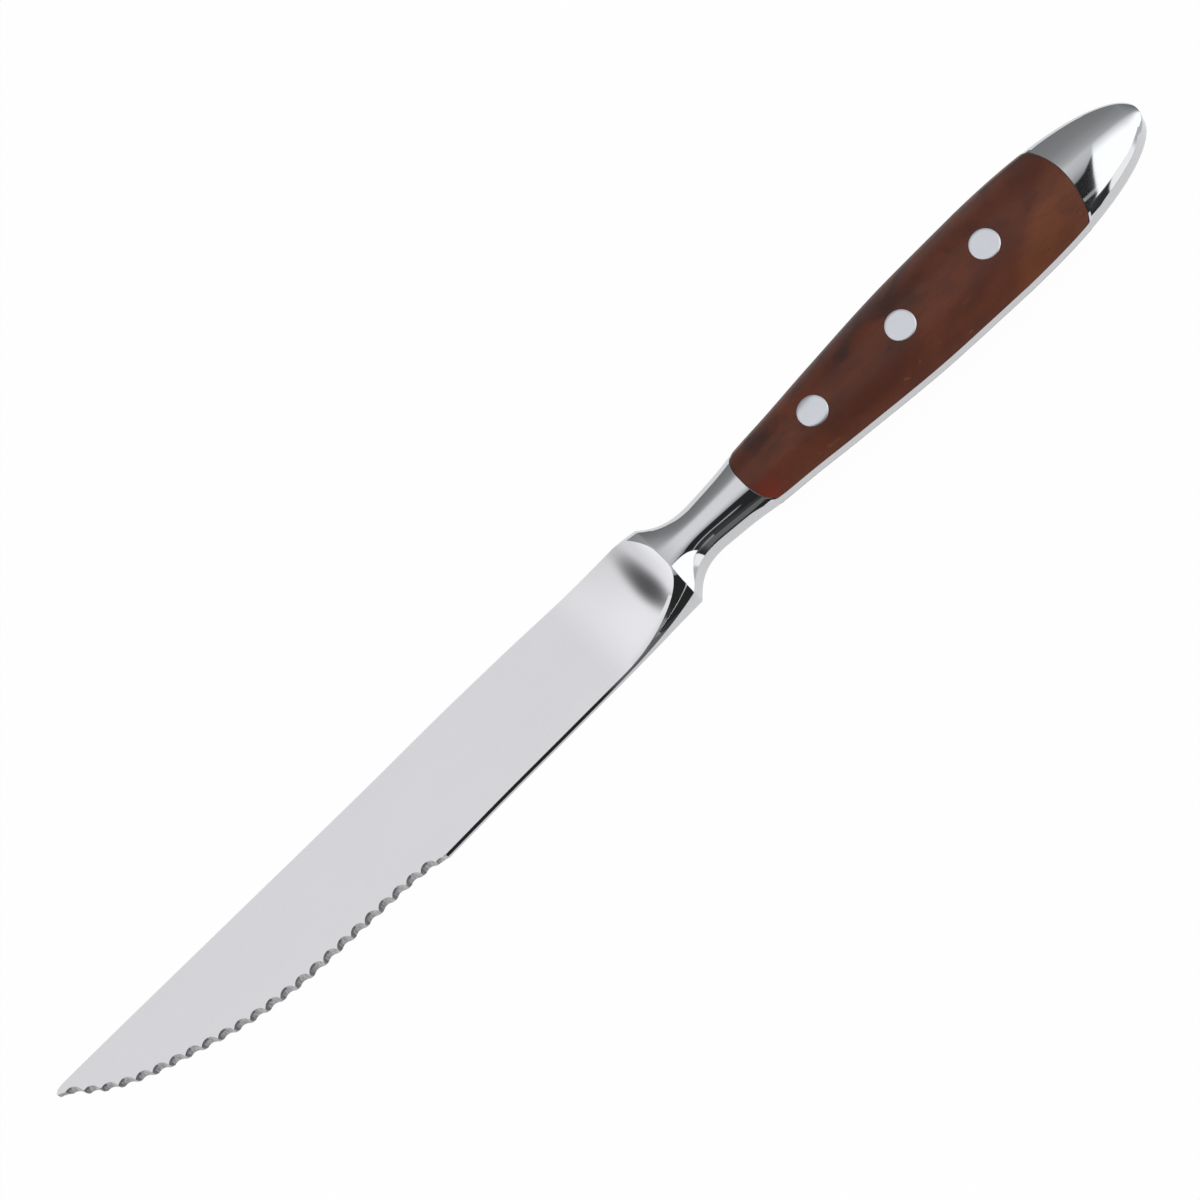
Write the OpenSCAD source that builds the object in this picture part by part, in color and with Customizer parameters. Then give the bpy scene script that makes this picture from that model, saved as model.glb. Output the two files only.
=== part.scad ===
/* [Blade] */
// Length from the tip to the bolster's shoulder
blade_l = 127.2; // [115:0.1:140]
// Thickness between the ground faces
blade_t = 1.8; // [1.4:0.1:2.4]
// Highest point of the spine above the handle's axis
spine_h = 7.75; // [7:0.05:9]
// Height of the tip above the handle's axis
tip_h = 6; // [5:0.1:6.4]
// Lowest point of the edge below the handle's axis
edge_drop = 10.2; // [9.3:0.05:11]
// How far the blunt edge stands out below the last tooth
heel_drop = 0.3; // [0:0.05:0.5]
// Length of the serrated part of the edge, from the tip
serration_l = 70.5; // [60:0.5:85]
// Distance along the edge from one tooth to the next
tooth_pitch = 2.95; // [2.6:0.05:3.1]
// Distance from the tip to the first tooth
tooth_start = 1.25; // [0.8:0.05:1.6]
// Radius of each ground scallop
scallop_r = 1.65; // [1.6:0.05:2.2]
// Angle between a scallop's axis and the blade's face
scallop_angle = 72; // [66:1:80]
// Thickness of the blunt edge where the serration ends
blunt_edge_t = 0.8; // [0.4:0.1:1]
// Width of the slope between the blunt edge and the blade's faces
blunt_slope = 0.4; // [0.3:0.05:0.6]

/* [Bolster] */
// Thickness of the bolster where the blade's ground face ends
bolster_t = 8.8; // [8:0.1:9.6]
// Run of the ground ramp from the flat face up to the shoulder
ramp_run = 17.2; // [15:0.1:19]
// Radius of the wheel that ground the blade's faces
wheel_r = 44.5; // [40:0.5:50]
// Height of the upper shoulder above the axis
shoulder_top = 6.65; // [6.3:0.05:6.9]
// Depth of the lower shoulder below the axis
shoulder_low = 7.6; // [7.2:0.05:8]
// Run from the shoulder to the narrowest part of the neck
neck_run = 8.4; // [7.5:0.1:10]
// Width of the neck
neck_w = 7.86; // [7:0.02:9]
// Thickness of the neck
neck_t = 7.8; // [7:0.1:8.6]
// Width of the flat band round the sides of bolster, scales and pommel
band_t = 4.3; // [3.8:0.1:4.8]
// Size of the lower chamfer between the band and the domed faces
chamfer = 0.7; // [0.4:0.05:0.9]
// Size of the upper chamfer
top_chamfer = 0.45; // [0.3:0.05:0.7]
// Width of the side band at the shoulder
shoulder_band_t = 5.7; // [5:0.1:6]
// Size of the chamfer over the upper shoulder
shoulder_chamfer = 0.7; // [0.5:0.05:1]
// Width and rise of the sloping facet along the lower shoulder
flank_run = 1.5; // [1.1:0.1:1.9]
flank_rise = 0.5; // [0.3:0.05:0.7]

/* [Handle] */
// Length from the neck to the front end of the scales
collar_l = 9; // [8:0.1:11]
// Length of the scales along the middle
scale_l = 69.8; // [64:0.1:76]
// Length of the pommel behind the scales
pommel_l = 15.6; // [14:0.1:18]
// Distance from the widest point to the back end of the scales
swell_back = 16.4; // [14:0.1:18]
// Greatest width of the handle
grip_w = 17.5; // [16.2:0.1:18.6]
// Greatest thickness of the handle
grip_t = 10.8; // [10:0.1:12]
// Thickness of the tang between the scales
tang_t = 2.6; // [2:0.1:3]
// How far the tang's edges stand out under the scales' sloping sides
tang_reach = 0.3; // [0.1:0.05:0.5]
// Bulge of the scales' front end
front_bulge = 1.3; // [0.6:0.1:1.6]
// Bulge of the scales' back end
back_bulge = 1.8; // [1:0.1:2]
// How far the scales' corners are cut back along the tang
corner_cut = 0.9; // [0.5:0.1:1.3]
// Joint line between each end of a scale and the steel
seam = 0.05; // [0.02:0.01:0.1]
// Width of the flat that runs along the top of the scales
grip_flat = 4.6; // [3:0.1:6]

/* [Rivets] */
// Diameter of the rivet heads
head_d = 5.2; // [4.6:0.1:6]
// Outer diameter of the hollow rivet half
sleeve_d = 3.4; // [3:0.1:3.8]
// Diameter of the solid rivet half
pin_d = 2.2; // [1.8:0.1:2.4]
// Height of the heads' seats above the knife's middle plane
seat_h = 3.4; // [3:0.1:3.8]
// Radial clearance between the rivet's parts, and round the heads
rivet_fit = 0.02; // [0.01:0.01:0.04]
// Radial clearance of the holes through scales and tang
hole_fit = 0.1; // [0.05:0.05:0.2]
// Gap between the end of each rivet half and the other half's head
end_gap = 0.2; // [0.1:0.05:0.4]
// First rivet, from the scales' front end
rivet_first = 15.6; // [13:0.1:18]
// Middle rivet, from the scales' front end
rivet_middle = 34.8; // [32:0.1:37]
// Last rivet, from the scales' front end
rivet_last = 53.1; // [50:0.1:55]

/* [Hidden] */

// How far every cut runs past what it cuts
overrun = 3;
// Length over which the serrated edge gives way to the blunt one
heel_step = 0.3;
// Distance of the last section from the pommel's end, and of a doubled section from its edge
end_land = 0.02;
// Height of the scales' sides before they slope
side_land = 0.1;
// Lengths along which the sides change, before and after each end of the scales
side_ease = [3, 4];
// How far a shank runs on into its head, so that the two are one solid
head_root = (grip_t / 2 - seat_h) / 4;
// Length of each rivet half's shank
shank_l = 2 * seat_h - end_gap;

// Places along the knife, from the tip
shoulder_x = blade_l;
grind_x = blade_l - ramp_run;
neck_x = blade_l + neck_run;
scale_x0 = neck_x + collar_l;
scale_x1 = scale_x0 + scale_l;
knife_l = scale_x1 + pommel_l;
swell_x = scale_x1 - swell_back;
rivets = [rivet_first, rivet_middle, rivet_last];

// Half sizes that the sections use
band = band_t / 2;
shoulder_band = shoulder_band_t / 2;
blunt_band = blunt_edge_t / 2;
neck_y = neck_w / 2;
grip_y = grip_w / 2;
dome_y = grip_y - tang_reach;
half_tang = tang_t / 2;
half_blade = blade_t / 2;

// Spine, as shares of blade_l and spine_h
spine_x_shares = [0, 0.0055, 0.017, 0.3, 0.52, 0.7, 0.78, 0.85, 1];
spine_y_shares = [0.805, 0.862, 0.884, 0.927, 0.955, 1, 1, 0.986, 0.984];
// Serrated edge, as shares of serration_l and of the drop from tip to heel
edge_x_shares = [0, 0.014, 0.05, 0.085, 0.125, 0.2, 0.28, 0.36, 0.44, 0.52, 0.6, 0.7, 0.89, 0.93, 0.968, 1];
edge_y_shares = [0, 0.024, 0.169, 0.285, 0.39, 0.532, 0.643, 0.748, 0.834, 0.887, 0.918, 0.928, 0.943, 0.953,
                 0.975, 1];
// Blunt edge, as shares of the run and of the rise from the heel to the shoulder
heel_x_shares = [0, 0.25, 0.47, 0.7, 0.82, 0.89, 0.95, 1];
heel_y_shares = [0, 0.19, 0.3, 0.44, 0.58, 0.72, 0.86, 1];
// Handle, as shares of the run and of the growth from the neck to the widest point
swell_x_shares = [0, 0.1, 0.185, 0.3, 0.45, 0.75, 1];
swell_y_shares = [0, 0.11, 0.27, 0.4, 0.6, 0.915, 1];
swell_z_shares = [0, 0.08, 0.22, 0.42, 0.6, 0.9, 1];

// Powers of the curves
crown_power = 2.1;
flank_power = 1.7;
fillet_power = 2.8;
flare_power = 8;
spine_power = 20;
pommel_power = 2.4;
nose_power = 0.7;
front_power = 3;
// Largest share of a half width that a chamfer takes
chamfer_share = 0.3;
// Flat along the crown: its least share of a half width, the place along a scale where it is full,
// and the share of the pommel over which it runs out
least_flat_share = 0.2;
flat_full_share = 0.45;
flat_end_share = 0.15;
// Least gap, as a share of the pitch, between the last two teeth
last_gap_share = 0.5;
// How far the curves of a scale's front and back ends run past the handle's sides
front_spread_share = 0.3;
back_spread_share = 0.15;

// Steps of the sections along the knife, and across half a face
tip_steps = 4;
edge_steps = 28;
heel_steps = 12;
ramp_steps = 12;
neck_steps = 14;
grip_steps = 24;
pommel_steps = 18;
face_steps = 7;
curve_steps = 20;
round_fn = 96;

// Slope at a point of a table, which keeps the curve between its points
function rise(xs, ys, i) = (ys[i + 1] - ys[i]) / (xs[i + 1] - xs[i]);
function bend(xs, ys, i) =
    i == 0 ? rise(xs, ys, 0)
    : i == len(xs) - 1 ? rise(xs, ys, i - 1)
    : let (a = rise(xs, ys, i - 1), b = rise(xs, ys, i)) a * b <= 0 ? 0 : 2 * a * b / (a + b);
function place(xs, x, i = 0) = i + 2 >= len(xs) || x < xs[i + 1] ? i : place(xs, x, i + 1);
// Smooth curve through a table of shares
function curve(xs, ys, x) =
    let (i = place(xs, x), d = xs[i + 1] - xs[i], t = (x - xs[i]) / d,
         m0 = bend(xs, ys, i) * d, m1 = bend(xs, ys, i + 1) * d)
    ys[i] * (1 + 2 * t) * pow(1 - t, 2) + m0 * t * pow(1 - t, 2)
    + ys[i + 1] * t * t * (3 - 2 * t) + m1 * t * t * (t - 1);
function share(x, x0, x1) = min(1, max(0, (x - x0) / (x1 - x0)));

// Outline of the domed faces, seen from above
function pommel(x) = sqrt(max(0, 1 - pow(share(x, swell_x, knife_l), pommel_power)));
function half_handle(x) =
    x > swell_x ? dome_y * pommel(x)
    : neck_y + (dome_y - neck_y) * curve(swell_x_shares, swell_y_shares, share(x, neck_x, swell_x));
function fillet(x, shoulder) =
    neck_y + (shoulder - neck_y) * pow(1 - share(x, shoulder_x, neck_x), fillet_power);
function top_y(x) =
    x < shoulder_x ? spine_h * curve(spine_x_shares, spine_y_shares, x / blade_l)
        - (spine_h * spine_y_shares[len(spine_y_shares) - 1] - shoulder_top) * pow(x / blade_l, spine_power)
    : x < neck_x ? fillet(x, shoulder_top)
    : half_handle(x);
function low_y(x) =
    x < serration_l ? tip_h - (tip_h + edge_drop - heel_drop)
        * curve(edge_x_shares, edge_y_shares, x / serration_l)
    : x < shoulder_x ? -edge_drop + (edge_drop - shoulder_low)
        * curve(heel_x_shares, heel_y_shares, share(x, serration_l, shoulder_x))
    : x < neck_x ? -fillet(x, shoulder_low)
    : -half_handle(x);

// Half thickness at the middle
function crown_z(x) =
    x < shoulder_x ? bolster_t / 2
    : x < neck_x ? at_neck(x, bolster_t / 2, neck_t / 2)
    : x < swell_x ? neck_t / 2 + (grip_t - neck_t) / 2
        * curve(swell_x_shares, swell_z_shares, share(x, neck_x, swell_x))
    : band + (grip_t / 2 - band) * pow(pommel(x), 2 * nose_power);
// Value that changes from the shoulder to the neck, and its growth along the blunt edge
function at_neck(x, shoulder, neck) =
    neck + (shoulder - neck) * pow(1 - share(x, shoulder_x, neck_x), 2);
function flare(x) = pow(share(x, serration_l, shoulder_x), flare_power);

// Half width of the side band, which is narrower along the tang
function eased(t) = t * t * (3 - 2 * t);
function on_tang(x) =
    eased(share(x, scale_x0 - side_ease[0], scale_x0 + side_ease[1]))
    * (1 - eased(share(x, scale_x1 - side_ease[1], scale_x1 + side_ease[0])));
function side_band(x, side) =
    side > 0 || x < serration_l || x >= shoulder_x ? at_neck(x, shoulder_band, band)
    : flared(x, blunt_band, shoulder_band);
function wall_band(x, side) = side_band(x, side) - (band - half_tang - side_land) * on_tang(x);
function wall_out(x) = tang_reach * on_tang(x);

// Chamfer or facet between the band and the dome: how far in, and how far up
function flared(x, blunt, full) = blunt + (full - blunt) * flare(x);
function slope_run(x, side) =
    min(side > 0 ? at_neck(x, shoulder_chamfer, top_chamfer)
        : flared(x, blunt_slope, at_neck(x, flank_run, chamfer)),
        chamfer_share * (top_y(x) - low_y(x)) / 2);
function slope_rise(x, side) =
    min(side > 0 ? at_neck(x, shoulder_chamfer, top_chamfer)
        : flared(x, half_blade - blunt_band, at_neck(x, flank_rise, chamfer)),
        (crown_z(x) - band) * chamfer_share * 2);
function dome_power(x, side) = side > 0 ? crown_power : at_neck(x, flank_power, crown_power);

// Share of the half width that is flat: a little on the bolster and neck, most under the rivets
function flat_share(x) =
    (least_flat_share + (grip_flat / dome_y / 2 - least_flat_share)
        * eased(share(x, scale_x0, scale_x0 + scale_l * flat_full_share)))
    * (1 - eased(share(x, swell_x, scale_x1 + pommel_l * flat_end_share)));

// One quarter of a section, from the middle to the wall: side 1 is the spine's, -1 the edge's
function quarter(x, side) =
    let (mid = (top_y(x) + low_y(x)) / 2,
         edge = side > 0 ? top_y(x) : low_y(x),
         foot = edge - side * slope_run(x, side),
         foot_z = side_band(x, side) + slope_rise(x, side),
         flat = flat_share(x))
    concat([for (i = [0:face_steps])
                let (u = i / face_steps, fall = pow(share(u, flat, 1), dome_power(x, side)))
                [mid + (foot - mid) * u, foot_z + (crown_z(x) - foot_z) * (1 - fall)]],
           [[edge + side * wall_out(x), wall_band(x, side)]]);
function turned(list) = [for (i = [len(list) - 1:-1:0]) list[i]];
function tail(list) = [for (i = [1:len(list) - 1]) list[i]];
function face(x) = concat(turned(quarter(x, 1)), tail(quarter(x, -1)));
function section(x) =
    let (f = face(x)) concat(f, turned([for (p = f) [p[0], -p[1]]]));

// Where the sections lie
function steps(x0, x1, n) = [for (i = [0:n - 1]) x0 + (x1 - x0) * i / n];
stations = concat(
    steps(0, tooth_pitch, tip_steps),
    steps(tooth_pitch, serration_l - end_land, edge_steps),
    [serration_l - end_land],
    steps(serration_l + heel_step, grind_x, heel_steps),
    steps(grind_x, shoulder_x - end_land, ramp_steps),
    steps(shoulder_x, neck_x, neck_steps),
    steps(neck_x, swell_x, grip_steps),
    [for (i = [0:pommel_steps]) swell_x + (knife_l - swell_x - end_land) * sin(90 * i / pommel_steps)]);

// Solid through the sections between two places
module domed_body(from, to) {
    xs = [for (x = stations) if (x >= from && x <= to) x];
    n = len(section(xs[0]));
    points = [for (x = xs) for (p = section(x)) [x, p[0], p[1]]];
    sides = [for (k = [0:len(xs) - 2]) for (i = [0:n - 1])
                let (j = (i + 1) % n, a = k * n, b = a + n)
                each [[a + i, b + i, a + j], [a + j, b + i, b + j]]];
    ends = [[for (i = [0:n - 1]) i], [for (i = [n - 1:-1:0]) (len(xs) - 1) * n + i]];
    polyhedron(points = points, faces = concat(sides, ends), convexity = 6);
}

// Everything is drawn from the tip along the handle's axis, then set down on the floor, centred
module set_down() {
    translate([-knife_l / 2, (edge_drop - grip_y) / 2, grip_t / 2]) children();
}

// Wheel and straight pass that grind one face of the blade flat, side 1 or -1
module face_grind(side) {
    depth = spine_h + edge_drop + 2 * overrun;
    mirror([0, 0, side > 0 ? 0 : 1]) {
        translate([-overrun, -edge_drop - overrun, half_blade]) cube([grind_x + overrun, depth, grip_t]);
        translate([grind_x, -edge_drop - overrun, half_blade + wheel_r])
            rotate([-90, 0, 0]) cylinder(r = wheel_r, h = depth, $fn = 4 * round_fn);
    }
}

// Teeth lie on the edge, one pitch apart along it
function edge_slope(x) = (low_y(x + tooth_pitch / 2) - low_y(x)) * 2 / tooth_pitch;
function next_tooth(x) = x + tooth_pitch / norm([1, edge_slope(x)]);
function tooth_line(x) =
    x > serration_l - tooth_pitch * last_gap_share ? [[serration_l, low_y(serration_l)]]
    : concat([[x, low_y(x)]], tooth_line(next_tooth(x)));
teeth = tooth_line(tooth_start);
// Each scallop's circle passes through the two teeth beside it, or leaves them a small flat
module scallops() {
    lean = sin(scallop_angle);
    for (k = [0:len(teeth) - 2]) {
        run = teeth[k + 1][0] - teeth[k][0];
        fall = (teeth[k + 1][1] - teeth[k][1]) * lean;
        chord = norm([run, fall]);
        back = sqrt(max(0, scallop_r * scallop_r - chord * chord / 4));
        centre_x = (teeth[k][0] + teeth[k + 1][0]) / 2 + back * fall / chord;
        centre_y = (teeth[k][1] + teeth[k + 1][1]) / 2 - back * run / chord / lean;
        translate([centre_x, centre_y, half_blade])
            rotate([scallop_angle - 90, 0, 0])
                cylinder(r = scallop_r, h = 2 * (blade_t + overrun), center = true, $fn = round_fn);
    }
}

// Outline of a scale or its bed, seen from the face, with its ends drawn in by gap
function corner(y, foot) = corner_cut * max(0, (abs(y) - foot) / (chamfer + tang_reach));
module scale_outline(gap) {
    reach = grip_y + overrun;
    w0 = half_handle(scale_x0 + front_bulge);
    w1 = half_handle(scale_x1 - back_bulge);
    front = [for (i = [-curve_steps:curve_steps])
                let (u = i / curve_steps * (1 + front_spread_share))
                [scale_x0 + gap + front_bulge * pow(abs(u), front_power) + corner(u * w0, w0 - chamfer),
                 u * w0]];
    back = [for (i = [curve_steps:-1:-curve_steps])
               let (u = i / curve_steps * (1 + back_spread_share))
               [scale_x1 - gap - back_bulge * u * u - corner(u * w1, w1 - chamfer), u * w1]];
    polygon(concat([[front[0][0], -reach]], front, [[front[2 * curve_steps][0], reach]],
                   [[back[0][0], reach]], back, [[back[2 * curve_steps][0], -reach]]));
}
module scale_bed(side, gap) {
    mirror([0, 0, side > 0 ? 0 : 1])
        translate([0, 0, half_tang]) linear_extrude(grip_t) scale_outline(gap);
}

module rivet_holes(diameter) {
    for (x = rivets)
        translate([scale_x0 + x, 0, 0])
            cylinder(d = diameter, h = grip_t + overrun, center = true, $fn = round_fn);
}

// Blade, bolster, full tang and pommel, forged in one piece
module blade_and_tang() {
    color([0.80, 0.80, 0.82])
        set_down()
            difference() {
                domed_body(0, knife_l);
                face_grind(1);
                face_grind(-1);
                scallops();
                scale_bed(1, 0);
                scale_bed(-1, 0);
                rivet_holes(sleeve_d + 2 * hole_fit);
            }
}

// Wooden scale on one face of the tang, with holes and seats for the rivets
module scale_on(side) {
    color([0.40, 0.20, 0.13])
        set_down()
            difference() {
                intersection() {
                    domed_body(scale_x0 - overrun, scale_x1 + overrun);
                    scale_bed(side, seam);
                }
                rivet_holes(sleeve_d + 2 * hole_fit);
                mirror([0, 0, side > 0 ? 0 : 1])
                    for (x = rivets)
                        translate([scale_x0 + x, 0, seat_h])
                            cylinder(d = head_d + 2 * rivet_fit, h = grip_t, $fn = round_fn);
            }
}
module front_scale() { scale_on(1); }
module back_scale() { scale_on(-1); }

// Rivet head, ground flush with the scale, seen with its shank pointing down
module rivet_head(x) {
    intersection() {
        domed_body(x - 2 * head_d, x + 2 * head_d);
        translate([x, 0, seat_h]) cylinder(d = head_d, h = grip_t, $fn = round_fn);
    }
}
// Hollow half of a rivet, put in from the front face
module rivet_sleeve(number) {
    x = scale_x0 + rivets[number - 1];
    color([0.80, 0.82, 0.86])
        set_down()
            difference() {
                union() {
                    rivet_head(x);
                    translate([x, 0, end_gap - seat_h])
                        cylinder(d = sleeve_d, h = shank_l + head_root, $fn = round_fn);
                }
                translate([x, 0, -grip_t])
                    cylinder(d = pin_d + 2 * rivet_fit, h = grip_t + seat_h, $fn = round_fn);
            }
}
// Solid half, pressed into the hollow one from the back face
module rivet_pin(number) {
    x = scale_x0 + rivets[number - 1];
    color([0.78, 0.80, 0.84])
        set_down()
            union() {
                mirror([0, 0, 1]) rivet_head(x);
                translate([x, 0, -seat_h - head_root])
                    cylinder(d = pin_d, h = shank_l + head_root, $fn = round_fn);
            }
}

blade_and_tang();
front_scale();
back_scale();
for (i = [1:len(rivets)]) {
    rivet_sleeve(i);
    rivet_pin(i);
}
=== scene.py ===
import math

import bmesh
import bpy
from mathutils import Matrix, Vector


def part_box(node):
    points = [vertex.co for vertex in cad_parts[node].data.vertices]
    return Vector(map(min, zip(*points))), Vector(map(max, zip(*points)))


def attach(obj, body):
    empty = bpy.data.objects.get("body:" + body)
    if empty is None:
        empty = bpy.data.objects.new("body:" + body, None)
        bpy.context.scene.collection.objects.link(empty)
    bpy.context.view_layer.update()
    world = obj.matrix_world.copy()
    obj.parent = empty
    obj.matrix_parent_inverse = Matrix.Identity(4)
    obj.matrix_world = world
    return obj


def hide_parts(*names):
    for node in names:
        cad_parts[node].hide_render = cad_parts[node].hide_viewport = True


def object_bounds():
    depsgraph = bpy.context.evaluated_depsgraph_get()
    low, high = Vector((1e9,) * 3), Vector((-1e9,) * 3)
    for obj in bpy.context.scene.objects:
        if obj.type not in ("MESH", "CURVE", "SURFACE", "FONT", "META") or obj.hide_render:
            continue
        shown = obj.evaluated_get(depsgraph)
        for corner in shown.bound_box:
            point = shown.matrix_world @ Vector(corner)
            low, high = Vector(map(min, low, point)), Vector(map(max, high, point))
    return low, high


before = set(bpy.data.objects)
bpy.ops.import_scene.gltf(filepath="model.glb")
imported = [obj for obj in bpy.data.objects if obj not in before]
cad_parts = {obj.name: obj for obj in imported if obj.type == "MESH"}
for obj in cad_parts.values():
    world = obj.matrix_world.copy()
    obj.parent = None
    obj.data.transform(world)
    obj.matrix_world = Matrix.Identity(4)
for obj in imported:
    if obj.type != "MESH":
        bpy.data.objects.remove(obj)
cad_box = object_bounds()

# Lengths below are in millimetres, on the knife's own axes:
# X from the tip to the pommel's end, Y from the handle's axis to the spine,
# Z from the middle plane to the face with the serrations
MM = 0.001

# Blade
BLADE_L = 127.2
HALF_BLADE = 0.9
SPINE_H = 7.75
TIP_H = 6.0
EDGE_DROP = 10.2
HEEL_DROP = 0.3
SERRATION_L = 70.5
TOOTH_PITCH = 2.95
TOOTH_START = 1.25
SCALLOP_R = 1.65
SCALLOP_LEAN = math.radians(18)
BLUNT_BAND = 0.4
BLUNT_SLOPE = 0.4
HEEL_STEP = 0.3

# Bolster
BOLSTER_T = 8.8
RAMP_RUN = 17.2
WHEEL_R = 44.5
RAMP_CROWN = 0.15
SHOULDER_TOP = 6.65
SHOULDER_LOW = 7.6
NECK_RUN = 8.4
NECK_Y = 3.93
NECK_T = 7.8
BAND = 2.15
CHAMFER = 0.7
TOP_CHAMFER = 0.45
SHOULDER_BAND = 2.85
SHOULDER_CHAMFER = 0.7
FLANK_RUN = 1.5
FLANK_RISE = 0.5
SHOULDER_ROUNDING = 0.35

# Handle
COLLAR_L = 9.0
SCALE_L = 69.8
POMMEL_L = 15.6
END_LAND = 0.02
SWELL_BACK = 16.4
DOME_Y = 8.45
GRIP_T = 10.8
GRIP_FLAT = 4.6
HALF_TANG = 1.3
TANG_REACH = 0.3
SIDE_LAND = 0.1
SIDE_EASE = (3.0, 4.0)
CHAMFER_START = 0.5
FRONT_BULGE = 1.3
BACK_BULGE = 1.8
CORNER_CUT = 0.9
CURVED_RUN = 7.0
SEAM = 0.05

# Rivets
HEAD_R = 2.6
SLEEVE_R = 1.7
PIN_R = 1.1
SEAT_H = 3.4
RIVET_FIT = 0.02
HOLE_FIT = 0.1
END_GAP = 0.2
HEAD_WEAR = 0.1

# Wear of the edges: how wide, on which corners, and where the steel has it
STEEL_WEAR = 0.12
STEEL_CORNER = 30
WOOD_WEAR = 0.08
WOOD_CORNER = 38
SEAM_LINE = 0.1
WORN_BOLSTER_X = 112.0
WORN_SPINE_X = 2.0
WORN_SPINE_Y = 6.2
BUFFED_X = (120.0, 125.5)
# Stretch of the bolster's lower flank whose crease is painted as a highlight
CREASE_X = (118.8, BLADE_L + 0.1)

# Numbers of the forging's finishes. The scallops' four tones of painted shade follow on the wheel's own
# number.
SATIN = 0
MIRROR = 1
WHEEL_SHADE = 2
# Painted highlight on the crease of the bolster's lower flank
CREASE_HIGHLIGHT = 6
SIDE = 7
# Painted shade on the scallops: four tones from dark to light, the shares of a scallop where each lighter
# tone begins, and how far its darker top runs
WHEEL_SHADE_TONES = (0.12, 0.24, 0.32, 0.38)
SHADE_SHARES = (0.14, 0.32, 0.62)
TOP_SHADE_SHARE = 0.5

# Powers of the curves
SPINE_POWER = 20
FLARE_POWER = 8
FILLET_POWER = 2.8
FLANK_POWER = 1.7
CROWN_POWER = 2.1
TOP_POWER = 1.8
FRONT_POWER = 3
POMMEL_POWER = 2.4
NOSE_POWER = 1.4

# Shares of a width, a height or a length
CHAMFER_SHARE = 0.3
LEAST_FLAT_SHARE = 0.2
FLAT_FULL_SHARE = 0.45
FLAT_END_SHARE = 0.15

# Places along the knife
SHOULDER_X = BLADE_L
GRIND_X = BLADE_L - RAMP_RUN
NECK_X = BLADE_L + NECK_RUN
SCALE_X0 = NECK_X + COLLAR_L
SCALE_X1 = SCALE_X0 + SCALE_L
KNIFE_L = SCALE_X1 + POMMEL_L
SWELL_X = SCALE_X1 - SWELL_BACK

# Outlines, as shares of a run and of a rise
SPINE = [(0, 0.805), (0.0055, 0.862), (0.017, 0.884), (0.3, 0.927), (0.52, 0.955),
         (0.7, 1), (0.78, 1), (0.85, 0.986), (1, 0.984)]
EDGE = [(0, 0), (0.014, 0.024), (0.05, 0.169), (0.085, 0.285), (0.125, 0.39), (0.2, 0.532),
        (0.28, 0.643), (0.36, 0.748), (0.44, 0.834), (0.52, 0.887), (0.6, 0.918), (0.7, 0.928),
        (0.89, 0.943), (0.93, 0.953), (0.968, 0.975), (1, 1)]
HEEL = [(0, 0), (0.25, 0.19), (0.47, 0.3), (0.7, 0.44), (0.82, 0.58), (0.89, 0.72), (0.95, 0.86),
        (1, 1)]
SWELL_WIDTH = [(0, 0), (0.1, 0.11), (0.185, 0.27), (0.3, 0.4), (0.45, 0.6), (0.75, 0.915), (1, 1)]
SWELL_DEPTH = [(0, 0), (0.1, 0.08), (0.185, 0.22), (0.3, 0.42), (0.45, 0.6), (0.75, 0.9), (1, 1)]

# The knife's axes in the frame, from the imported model
forging_low, forging_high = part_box("blade_and_tang")
middle_rivet_low, middle_rivet_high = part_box("rivet_pin_2")
TIP = forging_low.x
AXIS = (middle_rivet_low.y + middle_rivet_high.y) / 2
MIDDLE = (forging_low.z + forging_high.z) / 2


def set_down(x, y, z):
    return Vector((TIP + x * MM, AXIS + y * MM, MIDDLE + z * MM))


def share(x, start, end):
    return min(1.0, max(0.0, (x - start) / (end - start)))


def curve(points, x):
    """Smooth line through the points, with no overshoot between them"""
    rises = [(b[1] - a[1]) / (b[0] - a[0]) for a, b in zip(points, points[1:])]
    slopes = [rises[0]]
    for before, after in zip(rises, rises[1:]):
        slopes.append(0 if before * after <= 0 else 2 * before * after / (before + after))
    slopes.append(rises[-1])
    i = max(k for k in range(len(points) - 1) if k == 0 or x >= points[k][0])
    run = points[i + 1][0] - points[i][0]
    t = (x - points[i][0]) / run
    return (points[i][1] * (1 + 2 * t) * (1 - t) ** 2 + slopes[i] * run * t * (1 - t) ** 2
            + points[i + 1][1] * t * t * (3 - 2 * t) + slopes[i + 1] * run * t * t * (t - 1))


# Outline of the knife, seen from its face
def pommel(x):
    return math.sqrt(max(0, 1 - share(x, SWELL_X, KNIFE_L) ** POMMEL_POWER))


def half_handle(x):
    if x > SWELL_X:
        return DOME_Y * pommel(x)
    return NECK_Y + (DOME_Y - NECK_Y) * curve(SWELL_WIDTH, share(x, NECK_X, SWELL_X))


def fillet(x, shoulder):
    return NECK_Y + (shoulder - NECK_Y) * (1 - share(x, SHOULDER_X, NECK_X)) ** FILLET_POWER


def sharp_top(x):
    if x < SHOULDER_X:
        droop = SPINE_H * SPINE[-1][1] - SHOULDER_TOP
        return SPINE_H * curve(SPINE, x / BLADE_L) - droop * (x / BLADE_L) ** SPINE_POWER
    return fillet(x, SHOULDER_TOP) if x < NECK_X else half_handle(x)


def sharp_low(x):
    if x < SERRATION_L:
        return TIP_H - (TIP_H + EDGE_DROP - HEEL_DROP) * curve(EDGE, x / SERRATION_L)
    if x < SHOULDER_X:
        return -EDGE_DROP + (EDGE_DROP - SHOULDER_LOW) * curve(HEEL, share(x, SERRATION_L, SHOULDER_X))
    return -fillet(x, SHOULDER_LOW) if x < NECK_X else -half_handle(x)


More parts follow.
